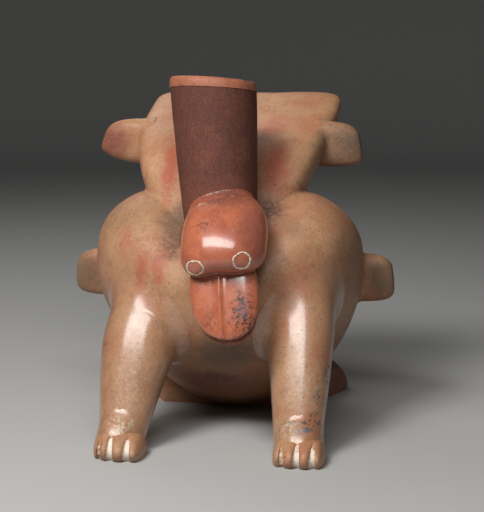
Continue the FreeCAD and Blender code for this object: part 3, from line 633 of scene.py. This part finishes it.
def spout_point(turn, share, inset):
    """Round rings this far inside the tube's skin, square to its axis at the foot and turning towards the
    tilt of the rim by the square of the height."""
    share = share + 0 * turn
    lean = np.clip(share, 0, 1)[..., None] ** 2
    facing_up = unit(SPOUT_AXIS * (1 - lean) + SPOUT_RIM_FACING * lean)
    across = unit(np.cross(np.array([0.0, 1.0, 0.0]), facing_up))
    spoke = across * np.cos(turn)[..., None] + np.cross(facing_up, across) * np.sin(turn)[..., None]
    middle, radius = spout_ring(share)
    return middle + spoke * (radius - inset)[..., None]


def spout_skin(turn, way):
    """The tube's outside, from its root (way 0) to the flat under its lip (way 1)."""
    return spout_point(turn, SPOUT_LOW + (SPOUT_TOP - SPOUT_LOW) * way, 0.0)


def spout_clearance(points):
    """Distance from the spout's axis less its radius at that height."""
    middle, radius = spout_ring((points - SPOUT_FOOT) @ SPOUT_AXIS / SPOUT_LENGTH)
    return np.linalg.norm(points - middle, axis=-1) - radius - hand(points)


def seat_clearance(points):
    """Clearance from what carries the spout: the body and the recliner's root."""
    return np.minimum(body_clearance(points), recliner_clearance(points))


outside = planted(spout_skin, SPOUT_COLUMNS, seat_clearance, SPOUT_FILLET, rows=120)[CAP_RINGS - 1:]
spout_turns = full_turn(SPOUT_COLUMNS)[None, :]
bore = spout_point(spout_turns, np.linspace(SPOUT_TOP, SPOUT_LOW, 60)[:, None], SPOUT_WALL)
purple_clay = clay("burnished_purple_slip", "purple", 0.6, shine=0.22)
spout = skin_mesh("slipped_spout", purple_clay, np.concatenate([outside, bore, outside[:1]]))
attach(spout, "root")
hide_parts("spout_tube")


def lip_skin(turn, round_turn):
    """The coil of the lip: round each place on the rim, a half oval whose flat foot is the tube's end."""
    c, s = squared(round_turn, LIP_EXPONENT)
    half = (SPOUT_WALL + LIP_OVERHANG) / 2
    share = 1 - (LIP_LOWER + LIP_HEIGHT * (1 - np.maximum(s, 0))) / SPOUT_LENGTH
    return spout_point(turn, share, half - LIP_OVERHANG - half * c * np.where(s < 0, 1 + s, 1))


lip_grid = lip_skin(spout_turns, np.linspace(0, 2 * math.pi, 49)[:, None])
lip = skin_mesh("coiled_lip", clay("worn_orange_slip", "lip", 0.48), lip_grid)
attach(lip, "root")
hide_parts("spout_lip")

# Bird's head: a thick-walled ball of clay pushed onto the spout's foot, slipped red and burnished to a
# gloss. Its cheeks are full and its brow leans forward over the bill.
HEAD_CENTRE, HEAD_RADII, HEAD_FILLET = np.array([10.5, -79.0, 146.0]), np.array([29.5, 31.0, 30.0]), 2.2
CHEEK_EXPONENT, BROW_EXPONENT = 3.8, 2.2
FACE_REACH_SHARE, FACE_LEAN = 0.87, 17.0
CHIN_DEPTH, LEFT_CHEEK_DROP, LEFT_CHEEK_SHARE = 23.0, 4.5, 0.7


def cheeks(height):
    """How much wider and deeper than a ball's the head's level rings are: below the middle they follow
    superellipses, so that the cheeks run down into the bill."""
    low = np.clip(-height, 0, 0.995)
    ball = np.sqrt(1 - low ** 2)
    return ((1 - low ** CHEEK_EXPONENT) ** (1 / CHEEK_EXPONENT) / ball,
            (1 - low ** BROW_EXPONENT) ** (1 / BROW_EXPONENT) / ball)


def chin(across):
    """Half height of the head below its middle, at a share of its half width: deeper at the left cheek."""
    return CHIN_DEPTH + LEFT_CHEEK_DROP * stepped(-across / LEFT_CHEEK_SHARE)


def head_skin(turn, way):
    """A ball drawn out to three radii, in rings about its Y axis from the back to the face, with full
    cheeks. Its levels shift by their height, so that the face leans forward down to the bill."""
    angle = math.pi * way
    u, v, w = np.cos(turn) * np.sin(angle), np.cos(angle) + 0 * turn, np.sin(turn) * np.sin(angle)
    wide, deep = cheeks(w)
    rise = w * np.where(w > 0, HEAD_RADII[2], chin(u * wide))
    reach = FACE_REACH_SHARE * HEAD_RADII[1] * v * deep + FACE_LEAN * rise / HEAD_RADII[2]
    return HEAD_CENTRE + np.stack([HEAD_RADII[0] * u * wide, reach, rise], -1)


def head_level(points):
    """The head's own measure: the length of a point's place on the ball that the cheeks were drawn from."""
    across, reach, rise = np.moveaxis((points - HEAD_CENTRE) / HEAD_RADII, -1, 0)
    w = rise * np.where(rise > 0, 1, HEAD_RADII[2] / chin(across))
    wide, deep = cheeks(w)
    forward = (reach - FACE_LEAN / HEAD_RADII[1] * rise) / (FACE_REACH_SHARE * deep)
    return np.sqrt((across / wide) ** 2 + forward ** 2 + w ** 2 + TINY) - 1


head_clearance = clearance(head_level)


def neck_clearance(points):
    """Clearance from what carries the head: the spout's foot, the body and the recliner."""
    return np.minimum(seat_clearance(points), spout_clearance(points))


head_grid = planted(head_skin, 200, neck_clearance, HEAD_FILLET, rows=110)
red_clay = clay("burnished_red_slip", "red", 0.28, FACE_STAINS, coat=1.0, shine=0.5)
head = skin_mesh("bird_head", red_clay, head_grid, start=True, end=True)
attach(head, "root")
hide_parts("head")

# Upper bill: a flat tongue of clay luted under the brow, pinched to a ridge down its middle and rounded at
# the tip, under the same red slip as the head.
BILL_TOP, BILL_TIP = np.array([10.5, -87.0, 127.0]), np.array([15.5, -106.0, 80.0])
BILL_HALF_WIDTH, BILL_FRONT_DEPTH, BILL_BACK_DEPTH = 23.8, 8.0, 4.0
BILL_RIDGE, RIDGE_PLACE, RIDGE_WIDTH = 1.7, -0.09, 0.095
BILL_GROOVE, GROOVE_PLACES, GROOVE_WIDTH = 0.2, (-0.31, 0.13), 0.05
BILL_EXPONENT, BILL_FILLET = 2.2, 1.2
BILL_TIP_START, BILL_TIP_ROUND, BILL_NECK, BILL_NECK_REACH = 3.9, 2.2, 0.13, 6


def bill_skin(turn, way):
    """Level superellipse rings along a straight middle line, deeper in front than behind, their width
    closing as a superellipse at the tip. Bells raise a ridge in front and sink a line on each side of it."""
    width = (1 - np.clip(way, 0, 1) ** BILL_TIP_START) ** (1 / BILL_TIP_ROUND)
    width = width * (1 - BILL_NECK * (1 - way) ** BILL_NECK_REACH)
    thin = np.sqrt(width)
    c, s = squared(turn, BILL_EXPONENT)
    middle = BILL_TOP + (BILL_TIP - BILL_TOP) * way[..., None]
    depth = np.where(s > 0, BILL_BACK_DEPTH, BILL_FRONT_DEPTH) * thin * s
    ridge = BILL_RIDGE * np.exp(-((c - RIDGE_PLACE) / RIDGE_WIDTH) ** 2)
    for place in GROOVE_PLACES:
        ridge = ridge - BILL_GROOVE * np.exp(-((c - place) / GROOVE_WIDTH) ** 2)
    ridge = np.where(s < 0, ridge, 0) * thin
    return middle + np.stack([BILL_HALF_WIDTH * width * c, depth - ridge, 0 * c], -1)


bill_grid = planted(bill_skin, 360, head_clearance, BILL_FILLET, rows=90)
bill = skin_mesh("bird_upper_bill", red_clay, bill_grid, start=True, end=True)
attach(bill, "root")
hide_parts("upper_bill")

# Lower bill: a thinner tongue of clay behind the upper one, luted under the throat. It shows as a rim under
# the upper one's tip, where its slip has worn thin.
LOWER_BILL_TIP, LOWER_BILL_RISE = np.array([16.3, -103.0, 75.5]), np.array([-3.5, 15.2, 34.0])
LOWER_BILL_HALF_WIDTH, LOWER_BILL_DEPTH, LOWER_BILL_THINNING = 21.5, 7.0, 0.4


def lower_bill_skin(turn, way):
    """Level oval rings from the throat down to a round tip."""
    share = 1 - way
    swell = np.clip(1 - (1 - share) ** 3, 0, 1) ** (1 / 2.1)
    fullness = LOWER_BILL_THINNING + (1 - LOWER_BILL_THINNING) * swell
    half_depth = LOWER_BILL_DEPTH / 2 * fullness * np.sqrt(np.clip(share * 12, 0, 1))
    oval = np.stack([LOWER_BILL_HALF_WIDTH * swell * np.cos(turn), half_depth * np.sin(turn), 0 * turn], -1)
    return LOWER_BILL_TIP + LOWER_BILL_RISE * share[..., None] + oval


lower_grid = lower_bill_skin(*np.meshgrid(full_turn(96), np.linspace(0, 1, 60)))
lower_grid[0] = drawn_together(lower_grid[0])
worn_clay = clay("worn_red_slip", "lip", 0.42, FACE_STAINS)
lower_bill = skin_mesh("bird_lower_bill", worn_clay, lower_grid, start=True, end=True)
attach(lower_bill, "root")
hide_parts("lower_bill")

# Eyes: a ring cut into each side of the face and filled with a matt white crust that stands a hair proud.
# Each eye: how far right of and above the head's middle, its half width and height, its wobble's first turn
EYES = {"left": (-16.0, -18.6, 5.9, 5.3, 2.0), "right": (15.4, -12.9, 5.05, 5.8, 0.4)}
EYE_LINE, EYE_SUNK, EYE_PROUD = 0.6, 0.1, 0.45
CRUST_DIRTY, CRUST_CLEAN = (0.34, 0.22, 0.15), (0.83, 0.76, 0.64)
white, white_shader = new_material("white_crust")
crust = white.node_tree
chalk = place_on_clay(crust).grain(1.1, 3, 0.6, 1.0)
chalk_colour = (chalk.between(0.35, 0.62) * 0.8).tint(CRUST_DIRTY, CRUST_CLEAN)
crust.links.new(chalk_colour.socket, white_shader.inputs["Base Color"])
crust.links.new((chalk * 0.3 + 0.6).socket, white_shader.inputs["Roughness"])
around, tube = np.meshgrid(full_turn(96), np.linspace(0, 2 * math.pi, 13))
for side, (across, height, half_width, half_height, start) in EYES.items():
    wobble = 0.25 * np.sin(2 * around + 1.1) + 0.16 * np.sin(5 * around + start)
    line = wobble + EYE_LINE * np.cos(tube) * (1 + 0.2 * np.sin(7 * around + 1))
    x = (across + (half_width + line) * np.cos(around)) / HEAD_RADII[0]
    rise = height + (half_height + line) * np.sin(around)
    wide, deep = cheeks(rise / chin(x))
    forward = np.sqrt(np.clip(1 - (x / wide) ** 2 - (rise / chin(x)) ** 2, 0.01, 1)) * deep
    reach = FACE_LEAN * rise / HEAD_RADII[2] - HEAD_RADII[1] * FACE_REACH_SHARE * forward
    seat = HEAD_CENTRE + np.stack([HEAD_RADII[0] * x, reach, rise], -1)
    proud = hand(seat) - EYE_SUNK + EYE_PROUD * np.sin(tube)
    eye = skin_mesh("eye_crust_" + side, white, seat + unit(slope(head_level, seat)) * proud[..., None])
    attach(eye, "root")
    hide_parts("eye_ring_" + side)

# Front legs: solid stumps of buff clay luted under the shoulders, swelling at knee and shin and narrow at
# the ankle. They are burnished harder than the body and shine more.
LEG_STATIONS = ((49.96, -28.0, 112.0), (54.03, -60.0, 72.0), (60.53, -99.0, 6.0))  # root, knee and ankle
LEG_SWAYS, LEG_RADII, SHIN_BULGE, LEG_FILLET = (6.0, 6.0, 2.5), (26.0, 21.5, 16.5), 3.5, 12.0
ANKLE_GAP = 0.05
# The left leg bows out at the calf: how far, how much fuller it is there, and where along the leg
CALF_BOW, CALF_SWELL, CALF_PLACE, CALF_REACH = 3.4, 3.2, 0.58, 0.42


def leg_middle(side, along):
    """The parabola through the middles of root, knee and ankle."""
    places = [(side * x + sway, y, z) for (x, y, z), sway in zip(LEG_STATIONS, LEG_SWAYS)]
    return np.stack([parabola(values, along) for values in zip(*places)], -1)


def leg_skin(side):
    """Rings along the leg's middle line that turn level at the ankle, fuller in front along the shin."""
    def skin(turn, way):
        way = way + 0 * turn
        along = 2 * way - 1
        calf = np.clip(1 - ((way - CALF_PLACE) / CALF_REACH) ** 2, 0, 1) ** 2 * (side < 0)
        middle = leg_middle(side, along)
        run = unit(leg_middle(side, along + 0.01) - middle)
        middle[..., 0] -= CALF_BOW * calf
        toward = unit(run * (1 - way[..., None] ** 2) - np.array([0, 0, 1.0]) * way[..., None] ** 2)
        front = unit(np.cross(toward, np.array([1.0, 0, 0])))
        across = np.cross(front, toward)
        bulge = SHIN_BULGE * np.sin(math.pi * way) ** 2 * (1 - np.sin(turn)) / 2
        reach = (parabola(LEG_RADII, along) + bulge + CALF_SWELL * calf)[..., None]
        return middle + across * reach * np.cos(turn)[..., None] + front * reach * np.sin(turn)[..., None]
    return skin


# A place along the leg counts as near when the point is level with it, and a little when it is close to it
LEG_PLACES, LEVEL_BIAS = np.linspace(0, 1, 121), 0.2


def leg_clearance(side):
    """Distance from the leg's middle line, at the nearest of many places along it, less its radius there."""
    middles = leg_skin(side)(full_turn(24)[None, :], LEG_PLACES[:, None]).mean(axis=1)
    runs = unit(np.gradient(middles, axis=0))

    def measured(points):
        away = points[..., None, :] - middles
        along = np.abs(np.einsum("...ki,ki->...k", away, runs))
        nearest_place = (along + LEVEL_BIAS * np.linalg.norm(away, axis=-1)).argmin(-1)
        spokes = points - middles[nearest_place]
        share = LEG_PLACES[nearest_place]
        bulge = SHIN_BULGE * np.sin(math.pi * share) ** 2
        return np.linalg.norm(spokes, axis=-1) - parabola(LEG_RADII, 2 * share - 1) - bulge / 2
    return measured


def soled(grid, gap):
    """The grid lifted to this gap above the ground, and closed below by a flat sole."""
    grid[..., 2] = np.maximum(grid[..., 2], gap)
    return np.concatenate([grid, drawn_together(grid[-1:])])


limb_clay = clay("burnished_buff_clay_limbs", "buff", 0.38, coat=1.0, shine=0.9)
for name, side in (("left", -1), ("right", 1)):
    leg_grid = soled(planted(leg_skin(side), 128, body_clearance, LEG_FILLET, rows=110), ANKLE_GAP)
    leg = skin_mesh("front_leg_" + name, limb_clay, leg_grid, start=True, end=True)
    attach(leg, "root")
    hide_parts("leg_" + name)

# Feet: domes of clay pressed round the ankles, flat on the ground, that run up into the legs. Each foot: its
# middle across and along, and its half width.
FOOT_PLACES = {"left": (-58.5, -100.0, 16.4), "right": (64.6, -100.0, 16.9)}
FOOT_HALF_LENGTH, FOOT_HEIGHT, FOOT_EXPONENT, FOOT_FILLET = 23.5, 27.0, 2.2, 7.0
FOOT_LIFT, FOOT_GAP, FOOT_TOP = 0.05, 0.04, 0.02


def foot_skin(middle_x, middle_y, half_width):
    """Level superellipse rings from the dome's top down to the ground, their size a quarter ellipse."""
    def skin(turn, way):
        c, s = squared(turn, FOOT_EXPONENT)
        size = np.sin(math.pi / 2 * way) + 0 * turn
        return np.stack([middle_x + half_width * size * c, middle_y + FOOT_HALF_LENGTH * size * s,
                         FOOT_HEIGHT * np.cos(math.pi / 2 * way) + 0 * turn + FOOT_LIFT], -1)
    return skin


for name, side in (("left", -1), ("right", 1)):
    dome, ankle = foot_skin(*FOOT_PLACES[name]), leg_clearance(side)
    foot_grid = soled(planted(dome, 128, ankle, FOOT_FILLET, rows=60, low=FOOT_TOP), FOOT_GAP)
    foot = skin_mesh("foot_dome_" + name, limb_clay, foot_grid, start=True, end=True)
    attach(foot, "root")
    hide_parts("foot_" + name)

# Toes: four stubs of clay pressed side by side onto the front of each foot, the middle ones reaching
# furthest, with grooves drawn between them that run out upwards. White crust has stayed in the grooves.
# Each row: where its toes part across the foot, how much crust is left in its three grooves, where its
# furthest reach is from left (-1) to right (1), and how far its sides stand back
TOE_ROWS = {"left": ((-73.0, -68.0, -60.0, -48.0, -38.6), (0.5, 1.0, 0.9), 0.35, 6.3),
            "right": ((47.6, 54.3, 64.6, 75.2, 82.4), (0.55, 0.85, 0.95), 0.1, 6.6)}
TOE_ROOT_Y, TOE_TIP_Y, TOE_HEIGHT, TOE_MIDDLE_Z, TOE_ROOF, TOE_UNDER = -111.0, -131.6, 17.0, 5.5, 1.85, 0.62
GROOVE_DEPTH, GROOVE_SHARE, TOE_EXPONENT, ROW_END_DROP = 0.2, 0.34, 2.1, 0.42
GROOVE_RISE, GROOVE_FADE, TOE_BACK, TOE_GAP, UNDER_GAP = 1.15, 0.7, 6.0, 0.05, 0.04
# Where the amount of crust changes, counted in toes along the row
CRUST_ENDS = (0.2, 0.5, 1.5, 1.501, 2.5, 2.501, 3.5, 3.8)
grooved_clay = clay("burnished_buff_clay_grooved", "buff", 0.42, shine=0.6, grooves=True)


def toe_skin(parts, crusts, furthest, setback):
    """Fans of ovals from a line inside the foot. Across the row their size rises and falls with each toe, as
    a superellipse from groove to groove, and falls to nothing at the row's two ends, where the roof is lower
    by the cube of the place. Their lower edges curve in, and the grooves narrow with the cosine of the lift.
    The second result is how much of a groove's crust each point holds, from 0 to 1."""
    count = len(parts) - 1
    place, lift = np.meshgrid(np.linspace(NEAR_END, count - NEAR_END, 241),
                              np.linspace(-TOE_UNDER, math.pi / 2, 56))
    share = np.abs(2 * (place - np.floor(place)) - 1)
    open_share = np.clip(np.cos(GROOVE_RISE * lift), 0, 1) ** GROOVE_FADE
    inner = np.clip(share / (1 - GROOVE_SHARE * open_share), 0, 1)
    crown = (1 - inner ** TOE_EXPONENT) ** (1 / TOE_EXPONENT)
    end = (1 - share ** TOE_EXPONENT) ** (1 / TOE_EXPONENT)
    edge = (np.abs(place - count / 2) > count / 2 - 0.5)
    size = np.where(edge, end, 1 - GROOVE_DEPTH * (1 - crown) * open_share)
    tip = TOE_TIP_Y + setback * (2 * place / count - 1 - furthest) ** 2
    c, s = squared(lift, TOE_ROOF)
    low = -squared(-TOE_UNDER, TOE_ROOF)[1]
    roof = TOE_HEIGHT * (1 - ROW_END_DROP * np.abs(2 * place / count - 1) ** 3) - TOE_MIDDLE_Z
    z = TOE_MIDDLE_Z + np.where(s > 0, roof * s * size, TOE_MIDDLE_Z * s / low)
    grid = np.stack([np.interp(place, range(count + 1), parts), TOE_ROOT_Y + (tip - TOE_ROOT_Y) * size * c,
                     np.maximum(z, TOE_GAP)], -1)
    left_over = np.interp(place, CRUST_ENDS, (0, *np.repeat(crusts, 2), 0))
    return grid, (1 - crown) * open_share * left_over


for name, row in TOE_ROWS.items():
    toe_front, groove = toe_skin(*row)
    toe_back = toe_front[-1:] * [1, 0, 1] + [0, TOE_ROOT_Y + TOE_BACK, 0]
    toe_under = toe_back * [1, 1, 0] + [0, 0, UNDER_GAP]
    toe_loop = np.concatenate([toe_front, toe_back, toe_under, toe_front[:1]])
    left_end, right_end = (drawn_together(toe_loop[:, i])[:, None] for i in (0, -1))
    toe_grid = np.concatenate([left_end, toe_loop, right_end], axis=1)
    toes = skin_mesh("toe_row_" + name, grooved_clay, toe_grid, wraps=False)
    hollows = toes.data.attributes.new("groove", "FLOAT", "POINT")
    hollows.data.foreach_set("value", np.pad(groove, ((0, 3), (1, 1))).ravel())
    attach(toes, "root")
    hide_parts("toes_" + name)

# Lugs: four flat tabs of clay with rounded edges, one pair luted low on the body's sides and one pair high
# on the recliner's.
LUG_THICKNESS, LUG_EXPONENT, LUG_TIP_EXPONENT, LUG_BITE = 17.0, 2.6, 4.0, 10.0
LOWER_LUG, LOWER_STANDOUT = (36.0, 100.0), 27.6
UPPER_LUG_SHARE, UPPER_DROP, UPPER_STANDOUT, UPPER_SWAY = 0.69, 4.5, 31.3, -4.0
LUG_FILLET = 4.0
# Each lug: its height, how far its outer edge leans out towards the bottom, how far its tip hangs lower than
# its root, and how much of its lower and upper half its tip has lost
LUG_SHAPES = {"lower_left": (37.0, 1.5, 0.0, 0.0, 0.05), "lower_right": (37.0, 2.0, 0.0, 0.0, 0.05),
              "upper_left": (34.0, 5.3, 0.0, 0.42, 0.0), "upper_right": (34.0, 3.0, 1.5, 0.0, 0.06)}


def lug_skin(root, tip, height, lean, slant, below, above):
    """Superellipse rings across X from the root out to the tip, closing as a quartic, dropped by the slant.
    The rings lean out towards the bottom, and lose a share of their lower or upper half on the way."""
    def skin(turn, way):
        rounding = (1 - np.clip(way, 0, 1) ** LUG_TIP_EXPONENT) ** (1 / LUG_TIP_EXPONENT)
        middle = root + (tip - root) * way[..., None]
        c, s = squared(turn, LUG_EXPONENT)
        s = s * (1 - np.where(s < 0, below, above) * way ** 2)
        outwards = np.sign(tip[0] - root[0]) * (-lean * (1 + s * rounding) * way)
        return middle + np.stack([outwards, LUG_THICKNESS / 2 * rounding * c,
                                  height / 2 * rounding * s - slant * way ** 2 / 2], -1)
    return skin


lug_along = (LOWER_LUG[0] - MIDDLE_Y) / HALF_LENGTH
lower_half_width = HALF_WIDTH * (1 - lug_along ** LENGTH_EXPONENT) ** (1 / LENGTH_EXPONENT)
upper_middle = spine(np.array([UPPER_LUG_SHARE]))[0][0] - np.array([0, 0, UPPER_DROP])
upper_half_width = RECLINER_HALF_WIDTH * float(eased(WIDTH_SHARES, np.array([UPPER_LUG_SHARE]))[0])
for name, side in (("left", -1), ("right", 1)):
    low_root = np.array([BODY_SWAY + side * (lower_half_width - LUG_BITE), *LOWER_LUG])
    low_tip = np.array([side * (lower_half_width + LOWER_STANDOUT), *LOWER_LUG])
    high_root = upper_middle + np.array([side * (upper_half_width - LUG_BITE), 0, 0])
    high_tip = np.array([UPPER_SWAY + side * (upper_half_width + UPPER_STANDOUT), *upper_middle[1:]])
    for level, root, tip, host in (("lower", low_root, low_tip, body_clearance),
                                   ("upper", high_root, high_tip, recliner_clearance)):
        lug_form = lug_skin(root, tip, *LUG_SHAPES[level + "_" + name])
        lug_grid = planted(lug_form, 120, host, LUG_FILLET, rows=70)
        lug = skin_mesh(level + "_tab_" + name, buff_clay, lug_grid, start=True, end=True)
        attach(lug, "root")
        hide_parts(level + "_lug_" + name)

# Rear rest: a low apron of clay on the ground, luted behind the belly, which keeps the vessel from rocking
# back.
REST_FRONT_Y, REST_BACK_Y, REST_HALF_WIDTH, REST_HEIGHT, REST_EXPONENT = 34.0, 132.0, 87.3, 52.0, 2.3
REST_PLACES, REST_SMOOTHING, REST_GAP = (0.0, 0.1, 0.35, 0.65, 0.88, 1.0), 0.07, 0.02
REST_WIDTHS, REST_HEIGHTS = (0.60, 0.68, 0.81, 0.96, 0.84, 0.45), (0.25, 0.60, 0.95, 0.72, 0.38, 0.16)


def rest_skin(turn, way):
    """Half superellipse rings across Y. Their width and height come off a broken line through six places,
    whose corners are rounded by taking the mean of it a little way to both sides."""
    near = np.clip(way[..., None] + np.linspace(-REST_SMOOTHING, REST_SMOOTHING, 15), 0, 1)
    width, height = (np.interp(near, REST_PLACES, line).mean(-1) for line in (REST_WIDTHS, REST_HEIGHTS))
    c, s = squared(turn, REST_EXPONENT)
    return np.stack([REST_HALF_WIDTH * width * c, REST_FRONT_Y + (REST_BACK_Y - REST_FRONT_Y) * way + 0 * c,
                     np.maximum(REST_HEIGHT * height * s, REST_GAP)], -1)


rest_grid = rest_skin(*np.meshgrid(full_turn(128), np.linspace(0, 1, 60)))
rest_grid = np.concatenate([drawn_together(rest_grid[:1]), rest_grid, drawn_together(rest_grid[-1:])])
rest = skin_mesh("rear_rest_apron", buff_clay, rest_grid, start=True, end=True)
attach(rest, "root")
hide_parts("rear_rest")
